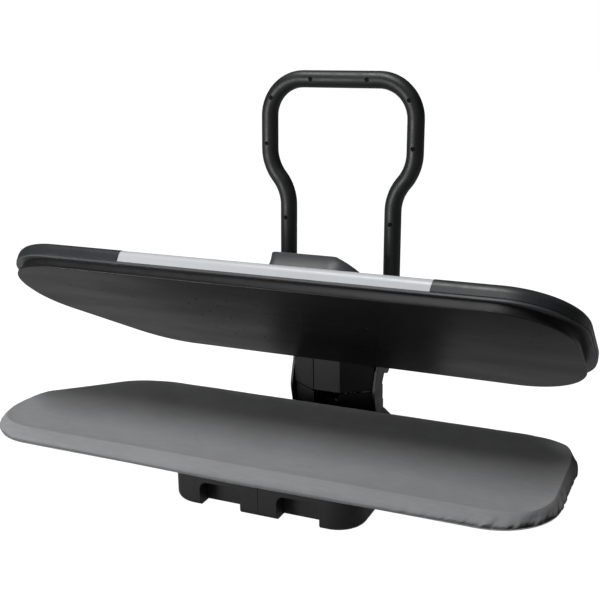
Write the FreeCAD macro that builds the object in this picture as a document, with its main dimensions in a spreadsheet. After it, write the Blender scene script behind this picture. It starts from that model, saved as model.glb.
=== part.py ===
"""Tabletop steam ironing press, open.

A padded, cloth-covered board stands on a low base. A heated shoe of the same outline
hangs over it on a hinge behind the board, and a looped handle brings it down. Sizes are
in millimetres, +Z is up, +X runs along the board to the right, and the user stands at -Y.
The origin is on the table, under the middle of the board, in the hinge's middle plane.

The shoe's pieces are drawn as they lie when the press is closed, then swung open about
the main hinge. The handle's pieces are drawn upright about their own pivot.
"""
import FreeCAD, Part
import math
import os
import re
import Sketcher

document = FreeCAD.newDocument("steam_press")

DIMENSIONS = {
    # board outline: a straight front edge, a tapered tail at the rear left
    "board_left": -457, "board_right": 443, "board_half": 147, "nose_angle": 43.7,
    "front_left_round": 97, "front_right_round": 94, "rear_right_round": 106,
    "tail_round": 132, "nose_round": 93,
    # heights of the lower half
    "foot_height": 2.5, "foot_radius": 14, "base_top": 84, "rear_top": 60, "board_top": 108,
    "cloth_thickness": 2, "hem_width": 20, "pan_thickness": 2, "pan_level": 89, "foam_top": 106,
    # base housing
    "base_middle": 5, "base_half": 155, "base_front": -74, "step_back": 158, "base_back": 318,
    "base_round": 45, "base_turn": 8, "base_inset": 9, "wall": 3, "seam": 0.2,
    "arch_middle": 64, "arch_width": 68, "arch_depth": 27, "arch_top": 42, "arch_round": 12,
    "well_half": 70, "well_front": 190, "well_back": 296, "fall_start": 250, "fall_end": 30,
    "fall_face": 78.7, "rear_fall_start": 277,
    "rear_fall_face": 62.2, "gland_across": 35, "gland_height": 30, "gland_bore": 3.6,
    # main hinge and the column behind the board
    "hinge_back": 255, "hinge_height": 70, "open_angle": 36, "pin_radius": 7,
    "running_gap": 0.05, "tower_top": 100.6, "bevel_inner": 24, "bevel_outer": 73,
    "bevel_front": 203, "bevel_back": 236, "guard_gap": 3.5, "guard_wall": 2,
    "guard_fall": 26.4, "tower_setback": 2.8, "ear_face": 74,
    "ear_thickness": 4,
    # link bars
    "link_back": 251.3, "link_height": 92, "link_length": 161.07, "link_lean": 6.38,
    "link_face": 28, "bar_thickness": 4, "link_pin_radius": 5, "crank_pin_radius": 4,
    "open_pivot_gap": 0.7,
    # shoe, closed
    "platen_right": 426, "cover_left": -466, "cover_right": 437,
    "platen_level": 112, "platen_thickness": 4, "shoe_growth": 13, "skirt_growth": 9,
    "trim_level": 129, "cover_level": 133, "cover_top": 155, "cover_round": 13,
    "panel_top": 159, "left_joint": -240, "right_joint": 252, "joint_slant": 1,
    "steam_hole_radius": 1.6, "steam_pitch": 52, "steam_row": 26,
    # housing on the shoe
    "housing_top": 238, "housing_back": 108, "arm_cover_half": 72, "arm_cover_top": 240,
    "arm_cover_back": 262, "arm_cover_foot": 121.5, "arm_face": 44,
    "tank_middle": -28, "tank_half": 42, "tank_front": 20, "tank_back": 94, "tank_foot": 178,
    # handle, upright, measured from its pivot
    "pivot_back": 172, "pivot_height": 193, "handle_lean": 2, "leg_middle": 93.5,
    "side_middle": 128.6, "leg_straight": 190, "side_start": 286, "loop_top": 401,
    "loop_round": 62, "grip_radius": 14, "grip_bore": 10.5, "core_radius": 8,
    "boss_radius": 20, "boss_inner": 80, "boss_outer": 107, "shaft_radius": 9,
    "shaft_inner": 34, "crank_back": 7.87, "crank_up": 34.1,
    # controls
    "dial_across": 145, "button_across": 182, "button_pitch": 26, "controls_front": -84,
    "panel_thickness": 3, "dial_radius": 16, "button_radius": 7,
}

sheet = document.addObject("Spreadsheet::Sheet", "Sheet")
for row, (alias, value) in enumerate(DIMENSIONS.items(), start=1):
    sheet.set(f"A{row}", alias.replace("_", " "))
    sheet.set(f"B{row}", str(value))
    sheet.setAlias(f"B{row}", alias)
document.recompute()

exports = []


# ---------------------------------------------------------------- binding helpers

def bound(text):
    """The expression with each dimension's name turned into its cell."""
    return re.sub(r"[a-z_]+", lambda m: f"Sheet.{m[0]}" if m[0] in DIMENSIONS else m[0], str(text))


def number(text):
    """The value of an expression, for a sketch's first guess."""
    return float(sheet.evalExpression(bound(text)))


def bind(thing, **properties):
    """Ties properties to expressions; a double underscore stands for a dot."""
    for name, text in properties.items():
        thing.setExpression(name.replace("__", "."), bound(text))
    return thing


def move(thing, across="0", back="0", up="0"):
    return bind(thing, Placement__Base__x=across, Placement__Base__y=back, Placement__Base__z=up)


def sided(side, text):
    """An expression mirrored to the left for side -1."""
    return f"({side}) * ({text})"


def node(label, thing, carrier=None):
    """Names a finished piece, puts it where its carrier holds it, and lists it for export."""
    thing.Label = label
    if carrier:
        carrier(thing)
    exports.append(thing)
    return thing


def tilt(thing, angle, back, up):
    """Turns a piece about the X direction through its own origin, then moves it."""
    thing.Placement = FreeCAD.Placement(
        FreeCAD.Vector(), FreeCAD.Rotation(FreeCAD.Vector(1, 0, 0), -number(angle)))
    bind(thing, Placement__Rotation__Angle=f"-({angle})", Placement__Base__y=back,
         Placement__Base__z=up)


def on_base(thing):
    """Shifts a piece drawn about the base housing's own middle."""
    move(thing, "base_middle")


def on_shoe(thing):
    """Swings a piece drawn closed into the open rest pose."""
    tilt(thing, "open_angle",
         "hinge_back - hinge_back * cos(open_angle) - hinge_height * sin(open_angle)",
         "hinge_height + hinge_back * sin(open_angle) - hinge_height * cos(open_angle)")


def on_handle(thing):
    """Stands a piece drawn about the handle's pivot on the open shoe's pivot."""
    tilt(thing, "handle_lean",
         "hinge_back + (pivot_back - hinge_back) * cos(open_angle)"
         " + (pivot_height - hinge_height) * sin(open_angle)",
         "hinge_height - (pivot_back - hinge_back) * sin(open_angle)"
         " + (pivot_height - hinge_height) * cos(open_angle)")


def on_link(thing):
    """Leans a piece drawn about the link's lower pivot to the crank."""
    tilt(thing, "link_lean", "link_back", "link_height")


# ---------------------------------------------------------------- shape helpers

def origin_plane(body, role):
    return next(plane for plane in body.Origin.OriginFeatures if plane.Role == role)


def new_sketch(body, role, level="0"):
    sketch = body.newObject("Sketcher::SketchObject", "Sketch")
    sketch.AttachmentSupport = [(origin_plane(body, role), "")]
    sketch.MapMode = "FlatFace"
    bind(sketch, AttachmentOffset__Base__z=level)
    return sketch


def fix_point(sketch, geometry, end, across, up):
    """Ties one point of a sketch to two expressions."""
    for kind, text in (("DistanceX", across), ("DistanceY", up)):
        index = sketch.addConstraint(
            Sketcher.Constraint(kind, -1, 1, geometry, end, number(text)))
        sketch.setExpression(f"Constraints[{index}]", bound(text))


def draw_polygon(sketch, corners):
    points = [FreeCAD.Vector(number(x), number(y), 0) for x, y in corners]
    first = sketch.GeometryCount
    count = len(points)
    for i, point in enumerate(points):
        sketch.addGeometry(Part.LineSegment(point, points[(i + 1) % count]))
    for i, (x, y) in enumerate(corners):
        sketch.addConstraint(Sketcher.Constraint(
            "Coincident", first + (i - 1) % count, 2, first + i, 1))
        fix_point(sketch, first + i, 1, x, y)


def draw_rounded(sketch, corners):
    """A closed outline from (x, y, radius) corners, each rounded by a tangent arc."""
    count = len(corners)
    points = [FreeCAD.Vector(number(x), number(y), 0) for x, y, _ in corners]
    ends, arcs = [], []
    for i, (_, _, radius) in enumerate(corners):
        to_last = (points[i - 1] - points[i]).normalize()
        to_next = (points[(i + 1) % count] - points[i]).normalize()
        half = to_last.getAngle(to_next) / 2
        size = number(radius)
        start = points[i] + to_last * (size / math.tan(half))
        stop = points[i] + to_next * (size / math.tan(half))
        centre = points[i] + (to_last + to_next).normalize() * (size / math.sin(half))
        middle = centre + (points[i] - centre).normalize() * size
        ends.append((start, stop))
        arcs.append(Part.Arc(start, middle, stop))
    first = sketch.GeometryCount
    for i in range(count):
        sketch.addGeometry(Part.LineSegment(ends[i][1], ends[(i + 1) % count][0]))
    for arc in arcs:
        sketch.addGeometry(arc)
    for i, (x, y, radius) in enumerate(corners):
        before, after, arc = first + (i - 1) % count, first + i, first + count + i
        turn = (points[i] - points[i - 1]).cross(points[(i + 1) % count] - points[i]).z
        near, far = (1, 2) if turn > 0 else (2, 1)
        sketch.addConstraint(Sketcher.Constraint("Tangent", before, 2, arc, near))
        sketch.addConstraint(Sketcher.Constraint("Tangent", after, 1, arc, far))
        index = sketch.addConstraint(Sketcher.Constraint("Radius", arc, number(radius)))
        sketch.setExpression(f"Constraints[{index}]", bound(radius))
        corner = sketch.addGeometry(Part.Point(points[i]), True)
        sketch.addConstraint(Sketcher.Constraint("PointOnObject", corner, 1, before))
        sketch.addConstraint(Sketcher.Constraint("PointOnObject", corner, 1, after))
        fix_point(sketch, corner, 1, x, y)


def outline_corners(growth, left, right):
    """The board's five corners, moved outward by growth, with the radii that go with them."""
    lean = f"({growth}) * tan(nose_angle / 2)"
    rise = f"({growth}) * tan(45 - nose_angle / 2)"
    return [
        (f"{left} - ({growth})", f"-board_half - ({growth})", f"front_left_round + ({growth})"),
        (f"{right} + ({growth})", f"-board_half - ({growth})", f"front_right_round + ({growth})"),
        (f"{right} + ({growth})", f"board_half + ({growth})", f"rear_right_round + ({growth})"),
        (f"{left} + board_half / tan(nose_angle) - {lean}", f"board_half + ({growth})",
         f"tail_round + ({growth})"),
        (f"{left} - ({growth})", f"{rise}", f"nose_round + ({growth})"),
    ]


def pad(body, sketch, length, both_ways=False):
    feature = body.newObject("PartDesign::Pad", "Pad")
    feature.Profile = sketch
    feature.SideType = "Symmetric" if both_ways else "One side"
    bind(feature, Length=length)
    document.recompute()
    return feature


def rounded_edges(body, radius, chosen):
    """Rounds the chosen edges of a body by one radius."""
    last = body.Tip
    names = [f"Edge{i}" for i, edge in enumerate(last.Shape.Edges, start=1) if chosen(edge)]
    feature = body.newObject("PartDesign::Fillet", "Fillet")
    feature.Base = (last, names)
    bind(feature, Radius=radius)
    document.recompute()
    return body


def along(axis):
    """A test for straight edges that run along one direction."""
    direction = FreeCAD.Vector(*axis)

    def chosen(edge):
        if edge.Curve.TypeId != "Part::GeomLine":
            return False
        return abs(edge.Curve.Direction.dot(direction)) > 0.999
    return chosen


def slab(growth, level, thickness, left="board_left", right="board_right"):
    """A plate with the board's outline, or with its ends moved to left and right."""
    body = document.addObject("PartDesign::Body", "Slab")
    sketch = new_sketch(body, "XY_Plane", level)
    draw_rounded(sketch, outline_corners(growth, left, right))
    pad(body, sketch, thickness)
    return body


def prism(role, corners, thickness, level="0", both_ways=False):
    """A plate from a polygon on one origin plane; YZ corners are (back, up)."""
    body = document.addObject("PartDesign::Body", "Prism")
    sketch = new_sketch(body, role, level)
    draw_polygon(sketch, corners)
    pad(body, sketch, thickness, both_ways)
    return body


def side_plate(side, corners, face, thickness):
    """A plate parallel to the YZ plane, from face outward on one side."""
    level = face if side > 0 else f"-({face}) - ({thickness})"
    return prism("YZ_Plane", corners, thickness, level)


def box(across, back, up, width, depth, height):
    thing = document.addObject("Part::Box", "Box")
    bind(thing, Length=width, Width=depth, Height=height)
    return move(thing, across, back, up)


DIRECTIONS = {"X": (0, 1, 0, 90), "Y": (1, 0, 0, -90), "Z": (0, 0, 1, 0)}


def rod(axis, radius, length, across="0", back="0", up="0"):
    """A cylinder that starts at a point and runs along +X, +Y or +Z."""
    thing = document.addObject("Part::Cylinder", "Rod")
    *direction, angle = DIRECTIONS[axis]
    thing.Placement.Rotation = FreeCAD.Rotation(FreeCAD.Vector(*direction), angle)
    bind(thing, Radius=radius, Height=length)
    return move(thing, across, back, up)


def side_rod(side, radius, face, length, back, up):
    """A cylinder along X, from face outward on one side."""
    start = face if side > 0 else f"-({face}) - ({length})"
    return rod("X", radius, length, start, back, up)


def fuse(*things):
    if len(things) == 1:
        return things[0]
    thing = document.addObject("Part::MultiFuse", "Fuse")
    thing.Shapes = list(things)
    thing.Refine = True
    return thing


def cut(base, *tools):
    thing = document.addObject("Part::Cut", "Cut")
    thing.Base = base
    thing.Tool = fuse(*tools)
    return thing


def common(one, other):
    thing = document.addObject("Part::Common", "Common")
    thing.Base = one
    thing.Tool = other
    return thing


def group(*things):
    """Several separate solids as one piece."""
    thing = document.addObject("Part::Compound", "Group")
    thing.Links = list(things)
    return thing


# ---------------------------------------------------------------- base

FOOT_PLACES = [("-125", "-38"), ("125", "-38"), ("0", "0"), ("-125", "285"), ("125", "285")]
BOSS_PLACES = [("120", "60"), ("120", "230"), ("14", "145")]
SUPPORT_PLACES = [("-112", "-50"), ("112", "-50"), ("-112", "112"), ("112", "112")]


def arch(side, growth):
    """One of the two recesses that the base's front is cut back to."""
    width = f"arch_width + 2 * ({growth})"
    near, far = (f"{side} * arch_middle {sign} ({width}) / 2" for sign in "-+")
    top = f"arch_top + ({growth})"
    body = prism("XZ_Plane", [(near, "0"), (far, "0"), (far, top), (near, top)],
        f"arch_depth + 10 + ({growth})", f"-(base_front + arch_depth + ({growth}))")
    return rounded_edges(body, "arch_round", lambda edge: along((0, 1, 0))(edge)
                         and edge.CenterOfMass.z > 1)


def rear_fall(side, drop):
    """What is cut away where the rear deck falls off beside and behind the hinge column."""
    return fuse(*[
        side_plate(side, [(start, f"rear_top - ({drop})"), ("base_back + 1", f"fall_end - ({drop})"),
                          ("base_back + 1", "base_top + 1"), (start, "base_top + 1")],
                   f"{face} - {side} * base_middle - ({drop}) / 2", "base_half")
        for start, face in (("fall_start", "fall_face"), ("rear_fall_start", "rear_fall_face"))])


def half_block(side, inset, back, level, top):
    """Half of the base's block, set in from its faces, with round outer corners."""
    outer, inner = sided(side, f"base_half - ({inset})"), sided(side, "seam")
    front = f"base_front + {inset}"
    body = prism("XY_Plane", [(inner, front), (outer, front), (outer, back), (inner, back)],
                 f"{top} - ({level})", level)
    far, limit = number(f"base_half - ({inset})") - 1, number("step_back") + 1
    return rounded_edges(body, f"base_round - ({inset})", lambda edge: along((0, 0, 1))(edge)
                         and abs(edge.CenterOfMass.x) > far
                         and (edge.CenterOfMass.y < 0 or edge.CenterOfMass.y > limit))


def base_shell(side):
    """Half of the base housing: a shell open below, with a lower deck behind the board."""
    body = half_block(side, "0", "base_back", "foot_height", "base_top")
    low = number("foot_height") + 0.1
    rounded_edges(body, "base_turn", lambda edge: edge.BoundBox.ZMax < low and not (
        along((0, 1, 0))(edge) and abs(edge.CenterOfMass.x) < 1))
    start = "0" if side > 0 else "-base_half - 1"
    step = box(start, "step_back", "rear_top", "base_half + 1", "base_back - step_back + 1",
               "base_top")
    hollow = fuse(half_block(side, "base_inset", "base_back - base_inset", "0", "rear_top - wall"),
                  half_block(side, "base_inset", "step_back - wall", "0", "base_top - wall"))
    posts = [rod("Z", "5", f"{top} - foot_height - 2 - wall", sided(side, x), y, "foot_height + 2")
             for (x, y), top in zip(BOSS_PLACES, ("base_top", "rear_top", "base_top"))]
    pilots = [rod("Z", "2", "12", sided(side, x), y, "foot_height") for x, y in BOSS_PLACES]
    well_start = "0" if side > 0 else "-well_half"
    well = box(well_start, "well_front", "rear_top - wall - 1", "well_half",
               "well_back - well_front", "wall + 2")
    holes = [rod("Z", "2.6", "10", x, y, "base_top - 6") for x, y in SUPPORT_PLACES
             if float(x) * side > 0]
    shell = cut(cut(body, step, arch(side, "0"), rear_fall(side, "0")),
                cut(hollow, arch(side, "wall"), rear_fall(side, "wall + 1"), *posts))
    if side > 0:
        holes.append(rod("Y", "gland_bore", "20", "gland_across", "base_back - 18",
                         "gland_height"))
    return cut(shell, well, *pilots, *holes)


def base_pieces():
    for side, name in ((-1, "left"), (1, "right")):
        node(f"base_shell_{name}", base_shell(side), on_base)
    inset = "base_inset + 1"
    reach, front = f"base_half - ({inset})", f"base_front + {inset}"
    plate = prism("XY_Plane", [(f"-({reach})", front), (reach, front),
                               (reach, f"base_back - ({inset})"),
                               (f"-({reach})", f"base_back - ({inset})")], "2", "foot_height")
    rounded_edges(plate, f"base_round - ({inset})", along((0, 0, 1)))
    screw_places = [(sided(side, x), y) for side in (-1, 1) for x, y in BOSS_PLACES]
    node("bottom_plate", cut(plate, arch(-1, "wall"), arch(1, "wall"),
                             *[rod("Z", "2.2", "4", x, y, "foot_height - 1")
                               for x, y in screw_places]), on_base)
    node("rubber_feet", group(*[rod("Z", "foot_radius", "foot_height", x, y)
                                for x, y in FOOT_PLACES]), on_base)
    node("bottom_screws", group(*[
        fuse(rod("Z", "4", "1.5", x, y, "foot_height - 1.5"),
             rod("Z", "2", "11", x, y, "foot_height")) for x, y in screw_places]), on_base)
    gland = cut(fuse(rod("Y", "11", "4", "gland_across", "base_back", "gland_height"),
                     rod("Y", "7.5", "14", "gland_across", "base_back", "gland_height")),
                rod("Y", "gland_bore", "16", "gland_across", "base_back - 1", "gland_height"))
    node("cord_gland", gland, on_base)


# ---------------------------------------------------------------- board

def board_pieces():
    pan = cut(slab("-3", "pan_level", "pan_thickness"),
              *[rod("Z", "2.6", "4", f"{x} + base_middle", y, "pan_level - 1")
                for x, y in SUPPORT_PLACES])
    node("board_pan", pan)
    node("foam_pad", slab("-cloth_thickness - 0.5", "pan_level + pan_thickness",
                          "foam_top - pan_level - pan_thickness"))
    skin = slab("0", "pan_level - 2", "board_top - pan_level + 2")
    top = number("board_top") - 0.1
    rounded_edges(skin, "5", lambda edge: edge.BoundBox.ZMin > top)
    node("board_cover", cut(skin, slab("-cloth_thickness", "pan_level - 0.5",
                                       "foam_top - pan_level + 0.5"),
                            slab("-hem_width", "pan_level - 3", "4")))
    node("hem_drawcord", cut(slab("-hem_width + 6", "pan_level - 4", "2"),
                             slab("-hem_width + 2", "pan_level - 5", "4")))
    node("board_supports", group(*[
        cut(rod("Z", "10", "pan_level - base_top", x, y, "base_top"),
            rod("Z", "2.6", "pan_level", x, y, "base_top - 1")) for x, y in SUPPORT_PLACES]),
        on_base)
    node("board_screws", group(*[
        fuse(rod("Z", "5", "3.5", x, y, "base_top - wall - 3.5"),
             rod("Z", "2.5", "pan_level + pan_thickness - base_top + wall", x, y,
                 "base_top - wall")) for x, y in SUPPORT_PLACES]), on_base)


# ---------------------------------------------------------------- hinge column

def hinge_frame():
    """A welded steel bracket: a foot plate, two outer cheeks and two inner ones."""
    foot = box("-62", "195", "foot_height + 2", "124", "110", "4")
    level = "foot_height + 5"
    outer = [("232", level), ("300", level), ("279", "hinge_height + 6"),
             ("266", "hinge_height + 18"), ("246", "hinge_height + 18"),
             ("240", "hinge_height + 4")]
    inner = [("205", level), ("300", level), ("280", "hinge_height"),
             ("265", "link_height + 14"), ("239", "link_height + 14"), ("234", "hinge_height")]
    cheeks = [side_plate(side, outer, "56", "bar_thickness") for side in (-1, 1)]
    cheeks += [side_plate(side, inner, "20", "bar_thickness") for side in (-1, 1)]
    return cut(fuse(foot, *cheeks),
               rod("X", "pin_radius", "140", "-70", "hinge_back", "hinge_height"),
               rod("X", "link_pin_radius", "140", "-70", "link_back", "link_height"))


def bevel_wall(side, outer_face, wall, top, level, rear="bevel_back"):
    """An upright wall that follows one slanting corner of the hinge column."""
    slope = "(bevel_back - bevel_front) / (bevel_outer - bevel_inner)"
    setback = f"({wall}) * sqrt(1 + ({slope}) ^ 2)"
    corners = [
        (sided(side, "bevel_inner"), f"bevel_front + {outer_face}"),
        (sided(side, "bevel_outer"), f"bevel_back + {outer_face}"),
        (sided(side, "bevel_outer"), f"{rear} + 20"),
        (sided(side, f"bevel_outer - ({wall})"), f"{rear} + 20"),
        (sided(side, f"bevel_outer - ({wall})"),
         f"bevel_back + {outer_face} + {setback} - ({wall}) * {slope}"),
        (sided(side, "bevel_inner"), f"bevel_front + {outer_face} + {setback}"),
    ]
    return prism("XY_Plane", corners, f"({top}) - ({level})", level)


def torsion_spring(start):
    """A closely wound coil round the hinge pin."""
    helix = document.addObject("Part::Helix", "Helix")
    helix.Pitch = 4
    helix.Height = 14
    bind(helix, Radius="pin_radius + 3.5")
    wire = document.addObject("Part::Circle", "Wire")
    wire.Radius = 1.6
    wire.Placement = FreeCAD.Placement(
        FreeCAD.Vector(number("pin_radius + 3.5"), 0, 0),
        FreeCAD.Rotation(FreeCAD.Vector(1, 0, 0), 90))
    coil = document.addObject("Part::Sweep", "Coil")
    coil.Sections = [wire]
    coil.Spine = (helix, [])
    coil.Solid = True
    coil.Frenet = True
    coil.Placement.Rotation = FreeCAD.Rotation(FreeCAD.Vector(0, 1, 0), 90)
    return move(coil, start, "hinge_back", "hinge_height")


def column_pieces():
    node("hinge_frame", hinge_frame())
    node("main_hinge_pin", rod("X", "pin_radius", "128", "-64", "hinge_back", "hinge_height"))
    node("link_pin", rod("X", "link_pin_radius", "70", "-35", "link_back", "link_height"))
    node("torsion_springs", group(torsion_spring("-17"), torsion_spring("3")))
    ear = [("237", "rear_top"), ("227", "100"), ("243", "150"), ("252", "162"), ("284", "162"),
           ("282", "132"), ("257", "94"), ("275", "rear_top")]
    for side, name in ((-1, "left"), (1, "right")):
        node(f"column_block_{name}", bevel_wall(side, "tower_setback", "wall", "tower_top",
                                                "rear_top", "bevel_back + 28"))
        plate = side_plate(side, ear, "ear_face", "ear_thickness")
        rounded_edges(plate, "40", lambda edge: along((1, 0, 0))(edge)
                      and 93 < edge.CenterOfMass.z < 101)
        rounded_edges(plate, "8", lambda edge: along((1, 0, 0))(edge)
                      and edge.CenterOfMass.z > 140)
        node(f"column_side_{name}", plate)
    node("rear_hinge_cover", prism("YZ_Plane", [
        ("313", "rear_top"), ("313", "86"), ("305", "93"), ("300", "93"), ("302", "90"),
        ("310", "83"), ("310", "rear_top")], "118", both_ways=True))


# ---------------------------------------------------------------- shoe

def steam_holes():
    """Staggered rows of steam holes through the platen, thickest in the middle."""
    rows = []
    for row in range(-3, 4):
        shift = "0.5" if row % 2 else "0"
        for step in range(-3, 3):
            rows.append((f"({step} + {shift}) * steam_pitch", f"{row} * steam_row - 10"))
    for step in range(3):
        rows.append((f"-360 + {step} * steam_pitch", "-90 + 12 * " + str(step)))
        rows.append((f"270 + {step} * steam_pitch", "-100 + 20 * " + str(step)))
    return [rod("Z", "steam_hole_radius", "platen_thickness + 4", x, y, "platen_level - 2")
            for x, y in rows]


def cover_shell(growth):
    """The whole upper cover as one crowned shell, before it is divided into three."""
    ends = ("cover_left", "cover_right")
    outer = slab(growth, "cover_level", "cover_top - cover_level", *ends)
    top = number("cover_top") - 0.1
    rounded_edges(outer, "cover_round", lambda edge: edge.BoundBox.ZMin > top)
    raised = slab("-34", "cover_top - 4", "panel_top - cover_top + 4", *ends)
    crest = number("panel_top") - 0.1
    rounded_edges(raised, "3.5", lambda edge: edge.BoundBox.ZMin > crest)
    hollow = slab(f"{growth} - wall", "cover_level - 1", "cover_top - cover_level + 1 - wall",
                  *ends)
    brim = number("cover_top - wall") - 0.1
    rounded_edges(hollow, "cover_round - wall", lambda edge: edge.BoundBox.ZMin > brim)
    return cut(fuse(outer, raised), hollow)


def cover_pieces():
    """The shoe's upper cover, divided by two upright joints."""
    low, high, cap = "cover_level - 1", "panel_top + 1", "shoe_growth + 1"
    for name, low_edge, high_edge, end in (
            ("left", "left_joint + joint_slant", "left_joint - joint_slant", "-700"),
            ("right", "right_joint - joint_slant", "right_joint + joint_slant", "700")):
        part = prism("XZ_Plane", [(low_edge, low), (high_edge, high), (end, high), (end, low)],
                     "500", both_ways=True)
        node(f"end_cap_{name}", common(cover_shell(cap), part), on_shoe)
    middle = prism("XZ_Plane", [
        ("left_joint + joint_slant + 0.3", low), ("right_joint - joint_slant - 0.3", low),
        ("right_joint + joint_slant - 0.3", high), ("left_joint - joint_slant + 0.3", high)],
        "500", both_ways=True)
    slots = [rod("Z", "4.2", "12", x, "controls_front", "panel_top - 8")
             for x in ("dial_across", "button_across", "button_across + button_pitch")]
    node("centre_cover", cut(common(cover_shell("shoe_growth - 0.5"), middle),
                             box("-44", "-10", "cover_level", "88", "90", "40"), *slots,
                             *arm_slots()), on_shoe)


ARM_PROFILE = [
    ("273", "hinge_height - 8"), ("278", "100"), ("264", "150"), ("238", "198"), ("196", "214"),
    ("150", "214"), ("112", "168"), ("20", "150"), ("10", "131"), ("140", "131"), ("166", "152"),
    ("190", "165"), ("214", "160"), ("231", "130"), ("237", "100"), ("237", "hinge_height - 8"),
]


def arm_slots():
    """The room that the arms need in the covers they pass through."""
    return [side_plate(side, ARM_PROFILE, "arm_face - 1", "bar_thickness + 2")
            for side in (-1, 1)]


def arm_plate(side):
    """A gooseneck plate that carries the shoe from the main hinge."""
    body = side_plate(side, ARM_PROFILE, "arm_face", "bar_thickness")
    rounded_edges(body, "6", along((1, 0, 0)))
    return cut(body, rod("X", "pin_radius + 2", "160", "-80", "hinge_back", "hinge_height"),
               rod("X", "shaft_radius + 2", "160", "-80", "pivot_back", "pivot_height"))


def bushes(inner, outer, back, up):
    return group(*[cut(side_rod(side, outer, "arm_face - 1", "bar_thickness + 2", back, up),
                       rod("X", inner, "160", "-80", back, up)) for side in (-1, 1)])


def heated_pieces():
    heated = ("board_left", "platen_right")
    plate = slab("shoe_growth", "platen_level", "platen_thickness", *heated)
    low = number("platen_level") + 0.1
    rounded_edges(plate, "1.5", lambda edge: edge.BoundBox.ZMax < low)
    node("platen", cut(plate, *steam_holes()), on_shoe)
    top = "platen_level + platen_thickness"
    node("heating_element", cut(slab("-22", top, "8"), slab("-31", f"{top} - 1", "10")), on_shoe)
    chamber = cut(slab("-78", top, "6"), slab("-80", f"{top} - 1", "5"))
    node("steam_chamber", chamber, on_shoe)
    post_places = [(x, y) for x in ("-55", "55") for y in ("-93", "93")]
    holes = [rod("Z", "3.2", "20", x, y, "trim_level - 6") for x, y in post_places]
    node("heat_shield", cut(slab("3", "trim_level - 3", "1", *heated), *holes,
                            rod("Z", "6.5", "8", "30", "0", "trim_level - 6")), on_shoe)
    node("platen_posts", group(*[rod("Z", "7", f"trim_level - 3 - ({top})", x, y, top)
                                 for x, y in post_places]), on_shoe)
    node("arm_bracket", cut(box("-62", "-105", "trim_level - 2", "124", "245", "4"), *holes,
                            box("18", "-12", "trim_level - 3", "24", "24", "6")), on_shoe)
    node("arm_bolts", group(*[fuse(rod("Z", "5.5", "4", x, y, "trim_level + 2"),
                                   rod("Z", "3", "5", x, y, "trim_level - 3"))
                              for x, y in post_places]), on_shoe)
    node("thermostat", fuse(rod("Z", "9", "3", "30", "0", f"{top} + 6"),
                            rod("Z", "6", "3", "30", "0", f"{top} + 8")), on_shoe)
    node("shoe_skirt", cut(slab("skirt_growth", top, f"trim_level - ({top})", *heated),
                           slab("skirt_growth - 3", f"{top} - 1", "20", *heated)), on_shoe)
    node("shoe_trim", cut(slab("shoe_growth", "trim_level", "cover_level - trim_level",
                               "cover_left", "cover_right"),
                          slab("skirt_growth - 5", "trim_level - 1", "8", *heated)), on_shoe)


def housing_section(right, left, front, rear_half, level):
    """One level of the housing on the shoe: round front corners and a narrower back."""
    body = document.addObject("PartDesign::Body", "Level")
    sketch = new_sketch(body, "XY_Plane", level)
    draw_rounded(sketch, [
        (f"-({left})", front, "14"), (right, front, "45"), (rear_half, "housing_back", "2"),
        (f"-({rear_half})", "housing_back", "2")])
    return sketch


HOUSING_LEVELS = [("106", "94", "-8", "80", "panel_top"), ("96", "88", "-2", "75", "190"),
                  ("86", "82", "1", "73", "202"), ("79", "78.5", "4", "71", "214"),
                  ("78", "78", "5", "70", "housing_top")]


def housing_solid(inset):
    """The housing's body between its levels, shrunk by inset."""
    loft = document.addObject("Part::Loft", "Loft")
    loft.Sections = [
        housing_section(f"{right} - ({inset})", f"{left} - ({inset})", f"{front} + ({inset})",
                        f"{rear} - ({inset})", level)
        for right, left, front, rear, level in HOUSING_LEVELS]
    loft.Solid = True
    return loft


def shoulder(drop):
    """What is cut away where the housing's top falls towards the right."""
    return prism("XZ_Plane", [
        ("32", f"arm_cover_top + 0.5 - ({drop})"), ("71", f"228 - ({drop})"),
        ("91", f"212 - ({drop})"), ("130", f"195 - ({drop})"), ("130", "260"), ("32", "260")],
        "700", both_ways=True)


def arm_cover():
    """The shell over the arms, open below and towards the housing."""
    outer = [("housing_back", "panel_top + 1"), ("164", "panel_top + 1"),
             ("164", "arm_cover_foot"), ("230", "arm_cover_foot"), ("arm_cover_back + 22", "138"),
             ("arm_cover_back + 24", "150"), ("254", "206"), ("228", "arm_cover_top - 4"),
             ("205", "arm_cover_top"), ("housing_back", "arm_cover_top")]
    body = prism("YZ_Plane", outer, "2 * arm_cover_half", both_ways=True)
    corners = (number("arm_cover_top") - 5, 205, 150)
    rounded_edges(body, "12", lambda edge: along((1, 0, 0))(edge) and any(
        abs(edge.CenterOfMass.z - z) < 2 for z in corners) and edge.CenterOfMass.y > 202)
    wide = number("arm_cover_half") - 1
    rounded_edges(body, "6", lambda edge: abs(edge.CenterOfMass.x) > wide
                  and edge.CenterOfMass.z > 120 and edge.CenterOfMass.y > 166)
    inner = [("housing_back - 1", "panel_top + 4"), ("167", "panel_top + 4"),
             ("167", "arm_cover_foot - 1"), ("230", "arm_cover_foot - 1"),
             ("arm_cover_back + 19", "136.5"), ("arm_cover_back + 20.5", "149"), ("250", "203"),
             ("226", "arm_cover_top - 7.5"), ("204", "arm_cover_top - 3"),
             ("housing_back - 1", "arm_cover_top - 3")]
    hollow = prism("YZ_Plane", inner, "2 * (arm_cover_half - wall)", both_ways=True)
    return cut(body, shoulder("0"), cut(hollow, shoulder("wall")),
               rod("X", "shaft_radius + 1.5", "160", "-80", "pivot_back", "pivot_height"),
               *arm_slots())


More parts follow.
